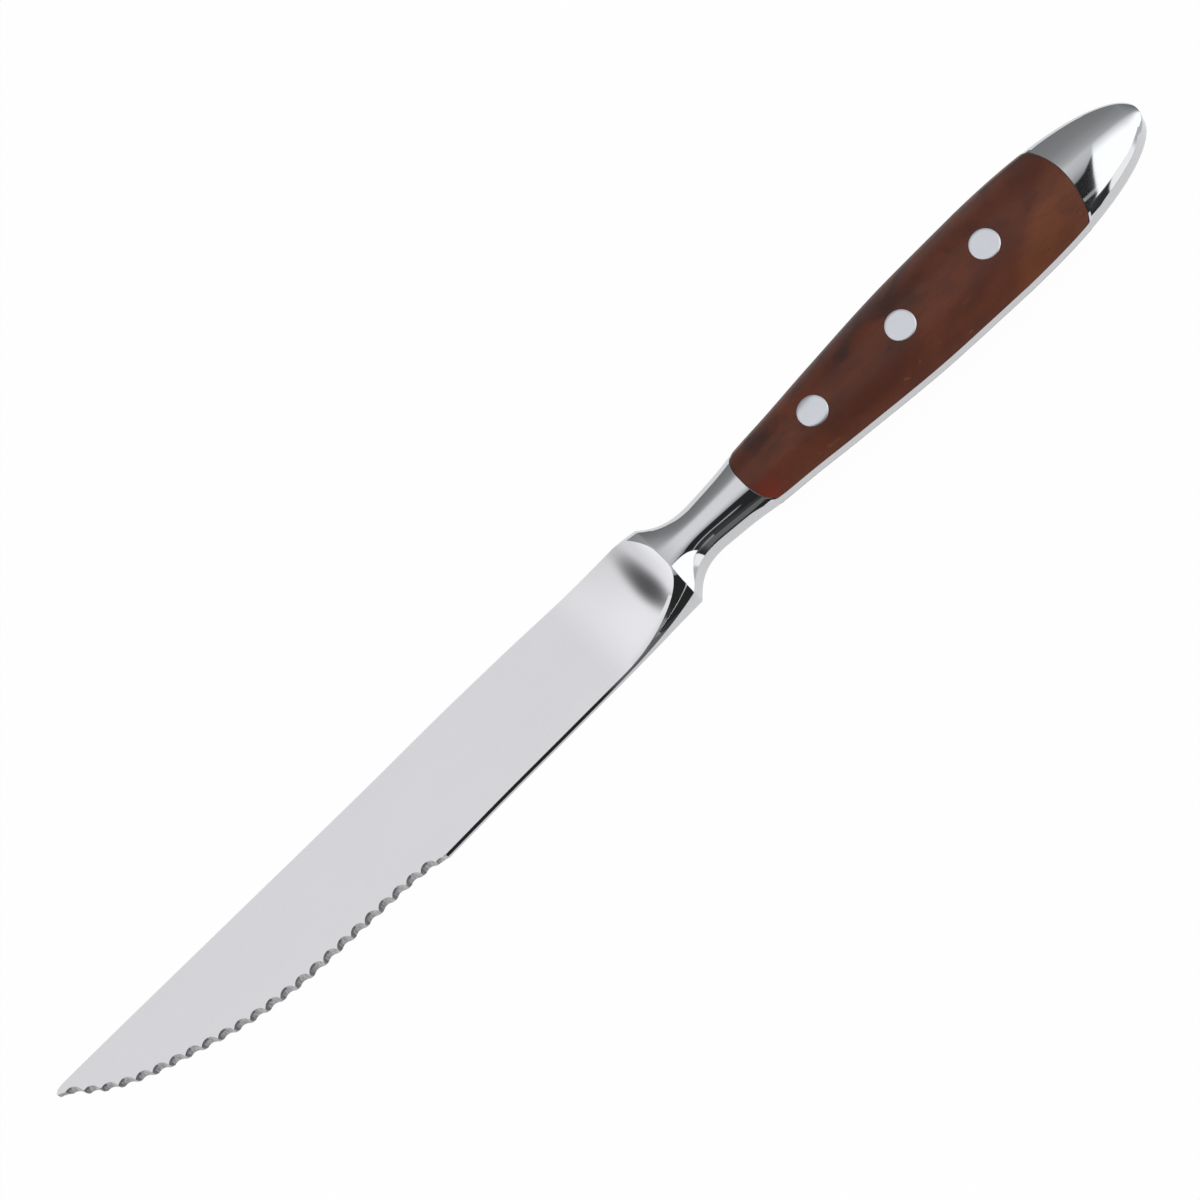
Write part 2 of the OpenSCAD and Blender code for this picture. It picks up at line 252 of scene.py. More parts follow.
def rounded(line, x):
    """The line with its corner at the shoulder worn round"""
    if abs(x - SHOULDER_X) > SHOULDER_ROUNDING:
        return line(x)
    reach = SHOULDER_ROUNDING - abs(x - SHOULDER_X)
    return sum(line(x + reach * k / 3) for k in range(-3, 4)) / 7


def top_y(x):
    return rounded(sharp_top, x)


def low_y(x):
    return rounded(sharp_low, x)


def at_neck(x, shoulder, neck):
    """Value that changes from the shoulder to the neck"""
    return neck + (shoulder - neck) * (1 - share(x, SHOULDER_X, NECK_X)) ** 2


def crown_z(x):
    """Half thickness at the middle"""
    if x < NECK_X:
        return at_neck(x, BOLSTER_T / 2, NECK_T / 2)
    if x < SWELL_X:
        return NECK_T / 2 + (GRIP_T - NECK_T) / 2 * curve(SWELL_DEPTH, share(x, NECK_X, SWELL_X))
    return BAND + (GRIP_T / 2 - BAND) * pommel(x) ** NOSE_POWER


def flare(x):
    return share(x, SERRATION_L, SHOULDER_X) ** FLARE_POWER


def flared(x, blunt, full):
    return blunt + (full - blunt) * flare(x)


def eased(t):
    return t * t * (3 - 2 * t)


# Sides: side 1 is the spine's, and -1 the edge's
def on_tang(x, side):
    """Share of the tang's narrower and outstanding form in the sides"""
    before, after = SIDE_EASE
    last = SCALE_X1 + (CHAMFER_START if side > 0 else before)
    begun = eased(share(x, SCALE_X0 - before, SCALE_X0 + after))
    ended = eased(share(x, SCALE_X1 - after, last))
    return begun * (1 - ended)


def side_band(x, side):
    """Half width of the band that the chamfer or facet starts from"""
    if side > 0 or x < SERRATION_L or x >= SHOULDER_X:
        return at_neck(x, SHOULDER_BAND, BAND)
    return flared(x, BLUNT_BAND, SHOULDER_BAND)


def wall_band(x, side):
    """Half width of the wall, which is narrower along the tang"""
    return side_band(x, side) - (BAND - HALF_TANG - SIDE_LAND) * on_tang(x, side)


def slope(x, side):
    """How far in and how far up the chamfer or facet over the side band goes"""
    if side > 0:
        run = rise = at_neck(x, SHOULDER_CHAMFER, TOP_CHAMFER)
    else:
        run = flared(x, BLUNT_SLOPE, at_neck(x, FLANK_RUN, CHAMFER))
        rise = flared(x, HALF_BLADE - BLUNT_BAND, at_neck(x, FLANK_RISE, CHAMFER))
    width, height = top_y(x) - low_y(x), crown_z(x) - BAND
    return min(run, CHAMFER_SHARE * width / 2), min(rise, CHAMFER_SHARE * height * 2)


def dome_power(x, side):
    return TOP_POWER if side > 0 else at_neck(x, FLANK_POWER, CROWN_POWER)


def flat_share(x):
    """Share of the half width that is flat along the top of the scales"""
    growth = eased(share(x, SCALE_X0, SCALE_X0 + FLAT_FULL_SHARE * SCALE_L))
    fade = eased(share(x, SWELL_X, SCALE_X1 + FLAT_END_SHARE * POMMEL_L))
    full = GRIP_FLAT / DOME_Y / 2
    return (LEAST_FLAT_SHARE + (full - LEAST_FLAT_SHARE) * growth) * (1 - fade)


def grind_z(x):
    """Half thickness that the wheel leaves of the blade"""
    past = max(0.0, x - GRIND_X)
    return HALF_BLADE + WHEEL_R - math.sqrt(WHEEL_R ** 2 - past ** 2)


def ramp_crown(x, row):
    """How far hand polishing has left the middle of the ground ramp above its sides"""
    if x > SHOULDER_X or abs(row) > GROUND_ROWS:
        return 0
    s = share(x, GRIND_X, SHOULDER_X)
    return RAMP_CROWN * 4 * s * (1 - s) * (1 - (row / GROUND_ROWS) ** 2)


# Serration: each scallop's circle passes through the two teeth beside it
def tooth_places():
    places = [TOOTH_START]
    while places[-1] <= SERRATION_L - TOOTH_PITCH / 2:
        x = places[-1]
        gradient = (low_y(x + TOOTH_PITCH / 2) - low_y(x)) * 2 / TOOTH_PITCH
        places.append(x + TOOTH_PITCH / math.hypot(1, gradient))
    return places[:-1] + [SERRATION_L]


TEETH = tooth_places()


def scallop_y(x):
    """Where the scallops' walls meet the front face"""
    for left, right in zip(TEETH, TEETH[1:]):
        if left <= x <= right:
            run = right - left
            fall = (low_y(right) - low_y(left)) * math.cos(SCALLOP_LEAN)
            chord = math.hypot(run, fall)
            back = math.sqrt(max(0, SCALLOP_R ** 2 - chord ** 2 / 4))
            centre_x = (left + right) / 2 + back * fall / chord
            centre_y = (low_y(left) + low_y(right)) / 2 - back * run / chord / math.cos(SCALLOP_LEAN)
            height = math.sqrt(max(0, SCALLOP_R ** 2 - (x - centre_x) ** 2))
            return centre_y + height / math.cos(SCALLOP_LEAN)
    return low_y(x)


def edge_y(x, z):
    """The edge's wall at height z, with the scallops leaning away from the front face"""
    if x >= SERRATION_L:
        return low_y(x)
    return max(low_y(x), scallop_y(x) + (z - HALF_BLADE) * math.tan(SCALLOP_LEAN))


# Rows of points across a face: 0 is the middle, and the last one on each side is at the wall
GROUND_ROWS = 7
DOME_ROWS = 14
HALF_ROWS = GROUND_ROWS + DOME_ROWS + 1
FULL_ROWS = 2 * HALF_ROWS
UNCUT = 100.0


def face_point(x, row, cut, front=True):
    """(y, z) on a face whose dome is cut flat at height cut. Rows past a crease gather on it."""
    side = 1 if row > 0 else -1
    middle = (top_y(x) + low_y(x)) / 2
    band, crown, power = side_band(x, side), crown_z(x), dome_power(x, side)
    run, rise = slope(x, side)
    edge = top_y(x) if side > 0 else edge_y(x, min(cut, band) if front else -min(cut, band))
    wall, wall_z = edge + side * TANG_REACH * on_tang(x, side), wall_band(x, side)
    foot_y, foot_z = edge - side * run, band + rise
    if cut > foot_z:
        fall = 1 - min(1, (cut - foot_z) / max(crown - foot_z, 0.0001))
        crease = 0 if cut >= crown else flat_share(x) + (1 - flat_share(x)) * fall ** (1 / power)
        crease_y = middle + (foot_y - middle) * crease
    else:
        crease_y = wall + (foot_y - wall) * share(cut, wall_z, foot_z)
    place = abs(row)
    if place == HALF_ROWS:
        return wall, min(wall_z, cut)
    if place <= GROUND_ROWS:
        return middle + (crease_y - middle) * place / GROUND_ROWS, min(cut, crown)
    if cut <= foot_z:
        return crease_y, cut
    u = crease + (1 - crease) * (place - GROUND_ROWS) / DOME_ROWS
    drop = share(u, flat_share(x), 1) ** power
    return middle + (foot_y - middle) * u, foot_z + (crown - foot_z) * (1 - drop)


def dome_z(x, y):
    """Height of the handle's domed face"""
    side = 1 if y > 0 else -1
    run, rise = slope(x, side)
    u = abs(y) / (half_handle(x) - run)
    return BAND + rise + (crown_z(x) - BAND - rise) * (1 - share(u, flat_share(x), 1) ** dome_power(x, side))


def ends_pull(x, y):
    """How far the curved ends of the scales draw a point along the knife"""
    half = max(half_handle(x), 0.01)
    corner = CORNER_CUT * max(0, (abs(y) - half + CHAMFER) / (CHAMFER + TANG_REACH))
    front = max(0, 1 - abs(x - SCALE_X0) / CURVED_RUN)
    back = max(0, 1 - abs(x - SCALE_X1) / CURVED_RUN)
    front_pull = FRONT_BULGE * abs(y / half) ** FRONT_POWER + corner
    back_pull = BACK_BULGE * (y / half) ** 2 + corner
    return front * front_pull - back * back_pull


def spread(start, end, count):
    """Even steps from the start, without the end itself"""
    return [start + (end - start) * i / count for i in range(count)]


# Building in bmesh
def block(steps):
    """Closed box with a grid on every side, and the grid's counts as its vertices' coordinates"""
    bm = bmesh.new()
    bmesh.ops.create_cube(bm, size=1)
    for axis, count in enumerate(steps):
        along = [e for e in bm.edges if abs((e.verts[0].co - e.verts[1].co)[axis]) > 0.5]
        bmesh.ops.subdivide_edges(bm, edges=along, cuts=count - 1, use_grid_fill=True)
    for v in bm.verts:
        v.co = Vector(round((c + 0.5) * n) for c, n in zip(v.co, steps))
    return bm


def close_up(bm):
    """Merges the points that lie on each other, and turns the faces outwards"""
    bmesh.ops.remove_doubles(bm, verts=bm.verts, dist=0.002 * MM)
    bmesh.ops.dissolve_degenerate(bm, edges=bm.edges, dist=0.001 * MM)
    turn_out(bm)


def turn_out(bm):
    """Closes what merging or bevelling has left open, and turns the faces outwards"""
    bmesh.ops.holes_fill(bm, edges=[e for e in bm.edges if len(e.link_faces) == 1], sides=0)
    bmesh.ops.recalc_face_normals(bm, faces=bm.faces)


def corners(bm, angle):
    """Edges that are sharper than the angle"""
    sharp = math.radians(angle)
    return [e for e in bm.edges if len(e.link_faces) == 2 and e.calc_face_angle(0) > sharp]


def wear(bm, edges, width, segments=2, material=-1):
    """Rounds edges off, and may give them a finish of their own"""
    bmesh.ops.bevel(bm, geom=edges, offset=width * MM, offset_type="OFFSET", affect="EDGES",
                    segments=segments, profile=0.5, material=material, clamp_overlap=True)


def crisp(bm, angle=20):
    """Smooth shading, but for edges over the angle and edges between two finishes"""
    for f in bm.faces:
        f.smooth = True
    for e in bm.edges:
        if len(e.link_faces) == 2:
            finishes = {f.material_index for f in e.link_faces}
            e.smooth = len(finishes) == 1 and e.calc_face_angle(0) < math.radians(angle)


def piece(name, bm, materials, nodes):
    mesh = bpy.data.meshes.new(name)
    bm.to_mesh(mesh)
    bm.free()
    obj = bpy.data.objects.new(name, mesh)
    bpy.context.scene.collection.objects.link(obj)
    for material in materials:
        mesh.materials.append(material)
    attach(obj, "root")
    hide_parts(*nodes)
    return obj


def drill(obj, x, profile):
    """Cuts a turned hole, given as radii and heights, through a piece"""
    bm = turned(profile, x)
    mesh = bpy.data.meshes.new("drill")
    bm.to_mesh(mesh)
    bm.free()
    cutter = bpy.data.objects.new("drill", mesh)
    bpy.context.scene.collection.objects.link(cutter)
    hole = obj.modifiers.new("hole", "BOOLEAN")
    hole.operation = "DIFFERENCE"
    hole.solver = "EXACT"
    hole.object = cutter
    bpy.context.view_layer.update()
    cut = bpy.data.meshes.new_from_object(obj.evaluated_get(bpy.context.evaluated_depsgraph_get()))
    obj.modifiers.clear()
    obj.data = cut
    bpy.data.objects.remove(cutter)


def turned(profile, x, steps=96):
    """Solid turned about a line through the handle, from (radius, height) pairs"""
    bm = bmesh.new()
    verts = [bm.verts.new((radius, 0, height)) for radius, height in profile]
    edges = [bm.edges.new(pair) for pair in zip(verts, verts[1:])]
    bmesh.ops.spin(bm, geom=verts + edges, cent=(0, 0, 0), axis=(0, 0, 1), angle=2 * math.pi,
                   steps=steps, use_merge=True)
    bmesh.ops.remove_doubles(bm, verts=bm.verts, dist=0.0001)
    bmesh.ops.recalc_face_normals(bm, faces=bm.faces)
    for v in bm.verts:
        v.co = set_down(x + v.co.x, v.co.y, v.co.z)
    return bm


# Materials
class Signal:
    """A socket that adds Math nodes as it is used in sums"""

    def __init__(self, paint, socket):
        self.paint = paint
        self.socket = socket

    def math(self, operation, *others):
        return self.paint.node("ShaderNodeMath", {"operation": operation}, [self, *others])

    def __add__(self, other):
        return self.math("ADD", other)

    __radd__ = __add__

    def __mul__(self, other):
        return self.math("MULTIPLY", other)

    __rmul__ = __mul__

    def __sub__(self, other):
        return self.math("SUBTRACT", other)

    def __rsub__(self, other):
        return (self * -1) + other

    def __truediv__(self, other):
        return self.math("DIVIDE", other)

    def __pow__(self, other):
        return self.math("POWER", other)

    def clamped(self, low=0.0, high=1.0):
        return self.paint.node("ShaderNodeClamp", {}, [self, low, high])

    def step(self, start, end, low=0.0, high=1.0):
        """Rises smoothly from low to high between two values"""
        settings = {"interpolation_type": "SMOOTHSTEP"}
        return self.paint.node("ShaderNodeMapRange", settings, [self, start, end, low, high])


class Paint:
    """Node tree of a material or world"""

    def __init__(self, owner):
        owner.use_nodes = True
        self.tree = owner.node_tree
        self.tree.nodes.clear()

    def node(self, kind, settings=None, values=(), out=0):
        """Adds a node, sets its settings and then its sockets, and gives one output"""
        made = self.tree.nodes.new(kind)
        for key, value in (settings or {}).items():
            if key == "stops":
                self.stops(made.color_ramp, value)
            else:
                setattr(made, key, value)
        sockets = values.items() if isinstance(values, dict) else enumerate(values)
        for key, value in sockets:
            if isinstance(value, Signal):
                self.tree.links.new(value.socket, made.inputs[key])
            else:
                made.inputs[key].default_value = value
        return Signal(self, made.outputs[out]) if made.outputs else made

    def stops(self, ramp, stops):
        while len(ramp.elements) > 1:
            ramp.elements.remove(ramp.elements[0])
        for i, (position, colour) in enumerate(stops):
            element = ramp.elements[0] if i == 0 else ramp.elements.new(position)
            element.position = position
            element.color = colour if len(colour) == 4 else (*colour, 1)

    def blend(self, factor, a, b):
        return a * (1 - factor) + factor * b

    def mix(self, factor, a, b, blend="MIX"):
        settings = {"data_type": "RGBA", "blend_type": blend}
        colours = [value if isinstance(value, Signal) else (*value, 1) for value in (a, b)]
        return self.node("ShaderNodeMix", settings, {0: factor, 6: colours[0], 7: colours[1]}, out=2)

    def object_axis(self, axis):
        return self.node("ShaderNodeSeparateXYZ", {}, [self.object_point()], out="XYZ".index(axis))

    def object_point(self, scale=(1, 1, 1), place=(0, 0, 0)):
        point = self.node("ShaderNodeTexCoord", out="Object")
        return self.node("ShaderNodeMapping", {}, {"Vector": point, "Location": place, "Scale": scale})

    def noise(self, point, scale, detail=3.0, roughness=0.5, distortion=0.0):
        return self.node("ShaderNodeTexNoise", {}, {"Vector": point, "Scale": scale, "Detail": detail,
                                                    "Roughness": roughness, "Distortion": distortion})

    def finish(self, **sockets):
        """Principled shader, with spaces in its sockets' names written as _"""
        named = {key.replace("_", " "): value for key, value in sockets.items()}
        shader = self.node("ShaderNodeBsdfPrincipled", {}, named)
        self.node("ShaderNodeOutputMaterial", {}, {"Surface": shader})


def ground_steel():
    """Blade faces: fine satin lines along the blade, polished towards the bolster"""
    material = bpy.data.materials.new("ground_steel")
    p = Paint(material)
    lines = p.noise(p.object_point((400, 22000, 400)), 1.0, 2.0)
    cloud = p.noise(p.object_point((60, 120, 60)), 1.0, 2.0)
    start, end = TIP + 108 * MM, TIP + 117 * MM
    polished = p.object_axis("X").step(start, end)
    satin = lines * 0.06 + cloud * 0.04 + 0.24
    p.finish(Base_Color=p.mix(cloud, (0.76, 0.76, 0.79), (0.82, 0.82, 0.85)), Metallic=1.0,
             Roughness=satin * (1 - polished) + polished * 0.09)
    return material


def shaded_wheel_steel(name, shade_tone):
    """Scallops of the serration: coarse marks of the wheel, in a tone of painted shade darker than the
    blade's faces
    """
    material = bpy.data.materials.new(name)
    p = Paint(material)
    marks = p.noise(p.object_point((5000, 900, 900)), 1.0, 2.0)
    low, high = (shade_tone * 0.75, shade_tone * 0.75, shade_tone * 0.77), (shade_tone * 1.25, shade_tone * 1.25, shade_tone * 1.28)
    p.finish(Base_Color=p.mix(marks.step(0.35, 0.65), low, high), Metallic=1.0, Roughness=marks * 0.1 + 0.3)
    return material


def polished_steel():
    """Bolster, neck, tang and pommel: mirror finish with faint buffing marks"""
    material = bpy.data.materials.new("polished_steel")
    p = Paint(material)
    marks = p.noise(p.object_point((900, 4000, 4000)), 1.0, 2.0)
    cloud = p.noise(p.object_point((150, 150, 150)), 1.0, 2.0)
    p.finish(Base_Color=(0.615, 0.628, 0.652, 1), Metallic=1.0,
             Roughness=marks * 0.02 + cloud * 0.03 + 0.02)
    return material


def crease_highlight_steel():
    """Crease on the bolster's lower flank: a painted highlight, steel that is rougher and lighter than the
    polish around it
    """
    material = bpy.data.materials.new("crease_highlight_steel")
    p = Paint(material)
    marks = p.noise(p.object_point((2000, 2000, 2000)), 1.0, 2.0)
    p.finish(Base_Color=p.mix(marks, (0.75, 0.75, 0.77), (0.9, 0.9, 0.92)), Metallic=1.0,
             Roughness=marks * 0.1 + 0.6)
    return material


def side_steel():
    """Spine, edge and sides of the tang: ground along the knife, a little duller than the faces"""
    material = bpy.data.materials.new("side_steel")
    p = Paint(material)
    lines = p.noise(p.object_point((500, 9000, 9000)), 1.0, 2.0)
    p.finish(Base_Color=p.mix(lines.step(0.3, 0.7), (0.46, 0.465, 0.48), (0.54, 0.545, 0.56)), Metallic=1.0,
             Roughness=lines * 0.1 + 0.15)
    return material


def rivet_metal():
    """Rivets: light metal, ground flush with the wood"""
    material = bpy.data.materials.new("rivet_metal")
    p = Paint(material)
    lines = p.noise(p.object_point((9000, 700, 700)), 1.0, 2.0)
    p.finish(Base_Color=(0.72, 0.74, 0.79, 1), Metallic=1.0, Roughness=lines * 0.1 + 0.26)
    return material


def handle_wood():
    """Reddish brown hardwood: cloudy, with dark smoke towards the spine and a warmer back end"""
    material = bpy.data.materials.new("handle_wood")
    p = Paint(material)
    along, across = p.object_axis("X"), p.object_axis("Y")
    cloud = p.noise(p.object_point((65, 110, 90), (2, 5, 1)), 1.0, 2.0, 0.5, 0.6)
    smoke = p.noise(p.object_point((80, 140, 90), (3, 1, 0)), 1.0, 3.0, 0.55, 0.9)
    grain = p.noise(p.object_point((180, 1300, 900)), 1.0, 4.0, 0.6, 0.5)
    knots = p.noise(p.object_point((420, 700, 600), (1, 4, 2)), 1.0, 2.0, 0.5, 1.0)
    base = p.mix(cloud.step(0.35, 0.65), (0.108, 0.029, 0.0155), (0.160, 0.041, 0.0185))
    warm = (along - across * 1.5).step(TIP + 206.5 * MM - AXIS * 1.5, TIP + 211.5 * MM - AXIS * 1.5)
    base = p.mix(warm * (cloud.step(0.3, 0.6) * 0.5 + 0.4), base, (0.215, 0.062, 0.020))
    collar_end = 1 - along.step(TIP + 146 * MM, TIP + 151 * MM)
    red = collar_end * (1 - across.step(AXIS - 4.5 * MM, AXIS - 1 * MM))
    base = p.mix(red * 0.7, base, (0.26, 0.032, 0.018))
    fibres = p.mix(grain.step(0.25, 0.75) * 0.15, base, (0.060, 0.020, 0.012))
    high = across.step(AXIS - 4 * MM, AXIS + 5 * MM) * (1 - warm)
    dark = p.mix(smoke.step(0.47, 0.66) * (high * 0.55 + 0.2), fibres, (0.040, 0.020, 0.017))
    low = 1 - across.step(AXIS - 7.5 * MM, AXIS - 3.5 * MM)
    flecks = knots.step(0.64, 0.72) * low
    flecked = p.mix(flecks * 0.6, dark, (0.26, 0.11, 0.05))
    pores = p.noise(p.object_point((420, 5200, 5200)), 1.0, 2.0, 0.6).step(0.56, 0.7)
    dents = p.node("ShaderNodeBump", {}, {"Strength": 0.25, "Distance": 0.04 * MM, "Height": pores * -1})
    p.finish(Base_Color=p.mix(pores * 0.3, flecked, (0.045, 0.018, 0.012)), Normal=dents,
             Roughness=grain * 0.1 + pores * 0.12 + 0.38, Specular_IOR_Level=0.3)
    return material


steel_satin = ground_steel()
steel_mirror = polished_steel()
# Steel of the scallops, in four tones of painted shade
steel_wheel_shades = [shaded_wheel_steel(f"shaded_wheel_steel_{number}", shade_tone)
               for number, shade_tone in enumerate(WHEEL_SHADE_TONES, 1)]
steel_crease_highlight = crease_highlight_steel()
steel_side = side_steel()
steels = [steel_satin, steel_mirror, *steel_wheel_shades, steel_crease_highlight, steel_side]
rivet_finish = rivet_metal()
wood_finish = handle_wood()


# Forging: blade, bolster, tang and pommel. Its block's corners stand at a station along the knife,
# in a row across it and on a level of its walls.
WALLS = 6
SHOULDER_REACH = 1.0


def forging_stations():
    """(x, bedded) for each cross section. Where the beds begin and end there are two."""
    serrated = [0.0, TOOTH_START / 2]
    for left, right in zip(TEETH, TEETH[1:]):
        serrated += spread(left, right, 10)
    serrated += [SERRATION_L - END_LAND]
    blade = (spread(SERRATION_L + HEEL_STEP, GRIND_X, 30)
             + spread(GRIND_X, SHOULDER_X - SHOULDER_REACH, 44)
             + spread(SHOULDER_X - SHOULDER_REACH, SHOULDER_X + SHOULDER_REACH, 26))
    neck = spread(SHOULDER_X + SHOULDER_REACH, NECK_X, 28) + spread(NECK_X, SCALE_X0, 24) + [SCALE_X0]
    bed = spread(SCALE_X0, SCALE_X1, 70) + [SCALE_X1]
    nose_run = KNIFE_L - END_LAND - SCALE_X1
    nose = [SCALE_X1 + nose_run * math.sin(math.pi / 2 * i / 56) for i in range(57)]
    return ([(x, False) for x in serrated + blade + neck] + [(x, True) for x in bed]
            + [(x, False) for x in nose])


def scallop_point(x, level):
    """(y, z) on the serrated wall, whose middle row lies where the scallop meets the plain edge"""
    through = (scallop_y(x) - low_y(x)) / math.tan(SCALLOP_LEAN)
    turn = max(-HALF_BLADE, HALF_BLADE - through)
    if level > 0.5:
        z = turn + (HALF_BLADE - turn) * (2 * level - 1)
    else:
        z = turn + (turn + HALF_BLADE) * (2 * level - 1)
    return edge_y(x, z), z


def forging_point(x, bedded, row, level):
    """Place of one of the block's corners. Level 0 is the back face, and 1 the front one."""
    cut = HALF_TANG if bedded else grind_z(x) if x < SHOULDER_X + SHOULDER_REACH else UNCUT
    if x > NECK_X:
        x += ends_pull(x, face_point(x, row, cut)[0])
    if row == -HALF_ROWS and x < SERRATION_L:
        return set_down(x, *scallop_point(x, level))
    back, front = face_point(x, row, cut, front=False), face_point(x, row, cut)
    y = back[0] + (front[0] - back[0]) * level
    return set_down(x, y, (2 * level - 1) * (front[1] + ramp_crown(x, row)))


def edge_finish_and_shade(x, row_of_wall):
    """Finish of the edge's wall, with painted shade on the scallops: each scallop is darkest at its left
    side and along its top
    """
    if x < TOOTH_START:
        return WHEEL_SHADE + 1
    for left, right in zip(TEETH, TEETH[1:]):
        if left <= x < right - END_LAND / 2:
            place = (x - left) / (right - left)
            if place < TOP_SHADE_SHARE and row_of_wall == WALLS - 1:
                return WHEEL_SHADE
            return WHEEL_SHADE + sum(place >= limit for limit in SHADE_SHARES)
    return SIDE


def forging_finish(face, stations):
    """Finish of one of the block's faces"""
    along = [stations[round(v.co.x)][0] for v in face.verts]
    rows = {round(v.co.y) for v in face.verts}
    levels = {round(v.co.z) for v in face.verts}
    # The tip's end takes a tone of the scallops' painted shade
    if max(along) == 0:
        return WHEEL_SHADE + 1
    if rows == {FULL_ROWS}:
        return SIDE
    if rows == {0}:
        return edge_finish_and_shade(min(along), min(levels))
    beside_flank = rows == {1, 2} and levels <= {0, WALLS}
    # The crease at the foot of the bolster's lower flank gets a painted highlight
    if beside_flank and CREASE_X[0] < min(along) and max(along) <= CREASE_X[1]:
        return CREASE_HIGHLIGHT
    ground = HALF_ROWS - GROUND_ROWS <= min(rows) and max(rows) <= HALF_ROWS + GROUND_ROWS
    return SATIN if ground and along[0] < NECK_X else MIRROR


def is_worn(edge):
    """Whether a corner is worn: from the bolster on and along the spine, but for its buffed stretch"""
    x = (min(v.co.x for v in edge.verts) - TIP) / MM
    y = (min(v.co.y for v in edge.verts) - AXIS) / MM
    buffed = y > 0 and BUFFED_X[0] < x < BUFFED_X[1]
    return not buffed and (x > WORN_BOLSTER_X or (x > WORN_SPINE_X and y > WORN_SPINE_Y))


def forging():
    stations = forging_stations()
    bm = block((len(stations) - 1, FULL_ROWS, WALLS))
    for f in bm.faces:
        f.material_index = forging_finish(f, stations)
    bed_ends = [i for i, station in enumerate(stations) if station in ((SCALE_X0, False), (SCALE_X1, False))]
    beside_scale = bm.verts.layers.int.new("beside_scale")
    for v in bm.verts:
        on_face = v.co.z in (0, WALLS) and 0 < v.co.y < FULL_ROWS
        v[beside_scale] = on_face and round(v.co.x) in bed_ends
        v.co = forging_point(*stations[round(v.co.x)], round(v.co.y) - HALF_ROWS, v.co.z / WALLS)
    close_up(bm)
    seams = [e for e in bm.edges if all(v[beside_scale] for v in e.verts)]
    bm.verts.layers.int.remove(beside_scale)
    # The seams at the scales' ends are rounded and take the darkest of the scallops' tones, a dark line
    # along the joint
    wear(bm, seams, SEAM_LINE, segments=3, material=WHEEL_SHADE)
    wear(bm, [e for e in corners(bm, STEEL_CORNER) if is_worn(e)], STEEL_WEAR)
    turn_out(bm)
    crisp(bm)
    return piece("forged_knife", bm, steels, ["blade_and_tang"])


def wooden_scale(name, side):
    """Wooden scale on one face of the tang, rounded to the steel's own shape"""
    run, depth = 120, 4
    bm = block((run, FULL_ROWS, depth))
    for v in bm.verts:
        x = SCALE_X0 + SEAM + (SCALE_L - 2 * SEAM) * v.co.x / run
        row, level = round(v.co.y) - HALF_ROWS, v.co.z / depth
        x += ends_pull(x, face_point(x, row, UNCUT)[0])
        y, top = face_point(x, row, UNCUT)
        v.co = set_down(x, y, side * (HALF_TANG + (top - HALF_TANG) * level))
    close_up(bm)
    wear(bm, corners(bm, WOOD_CORNER), WOOD_WEAR)
    bmesh.ops.recalc_face_normals(bm, faces=bm.faces)
    crisp(bm)
    return piece(name, bm, [wood_finish], [name.replace("wooden_", "")])


def rivet_places():
    places = []
    for number in (1, 2, 3):
        low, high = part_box(f"rivet_pin_{number}")
        places.append(((low.x + high.x) / 2 - TIP) / MM)
    return places


def rivet_head(bm, x, side):
    """Grinds the head's top flush with the handle's dome"""
    for v in bm.verts:
        height = (v.co.z - MIDDLE) / MM * side
        if height > SEAT_H + HEAD_WEAR:
            along = (v.co.x - TIP) / MM
            across = (v.co.y - AXIS) / MM
            v.co.z = MIDDLE + side * (dome_z(along, across) + height - GRIP_T / 2) * MM


def rivet_half(number, x, side):
    """Hollow half from the front, or solid half from the back"""
    top = GRIP_T / 2
    shank = SLEEVE_R if side > 0 else PIN_R
    tip = -(SEAT_H - END_GAP)
    head = [(0, top)] + [(HEAD_R * k / 6, top) for k in range(1, 6)]
    head += [(HEAD_R - 0.8 * HEAD_WEAR, top), (HEAD_R - 0.2 * HEAD_WEAR, top - 0.3 * HEAD_WEAR),
             (HEAD_R, top - HEAD_WEAR), (HEAD_R, SEAT_H)]
    stem = [(shank, SEAT_H), (shank, tip)]
    end = [(PIN_R + RIVET_FIT, tip), (PIN_R + RIVET_FIT, SEAT_H), (0, SEAT_H)] if side > 0 else [(0, tip)]
    bm = turned([(r, h * side) for r, h in head + stem + end], x)
    rivet_head(bm, x, side)
    bmesh.ops.recalc_face_normals(bm, faces=bm.faces)
    crisp(bm, angle=35)
    kind = "sleeve" if side > 0 else "pin"
    name, node = f"rivet_{kind}_half_{number}", f"rivet_{kind}_{number}"
    return piece(name, bm, [rivet_finish], [node])


forged = forging()
scales = [wooden_scale("wooden_front_scale", 1), wooden_scale("wooden_back_scale", -1)]
for number, x in enumerate(rivet_places(), 1):
    rivet_half(number, x, 1)
    rivet_half(number, x, -1)
    shank_r = SLEEVE_R + HOLE_FIT
    drill(forged, x, [(0, GRIP_T), (shank_r, GRIP_T), (shank_r, -GRIP_T), (0, -GRIP_T)])
    for scale, side in zip(scales, (1, -1)):
        seat_r = HEAD_R + RIVET_FIT
        seat = [(0, 0), (shank_r, 0), (shank_r, SEAT_H), (seat_r, SEAT_H), (seat_r, GRIP_T), (0, GRIP_T)]
        drill(scale, x, [(r, h * side) for r, h in seat])


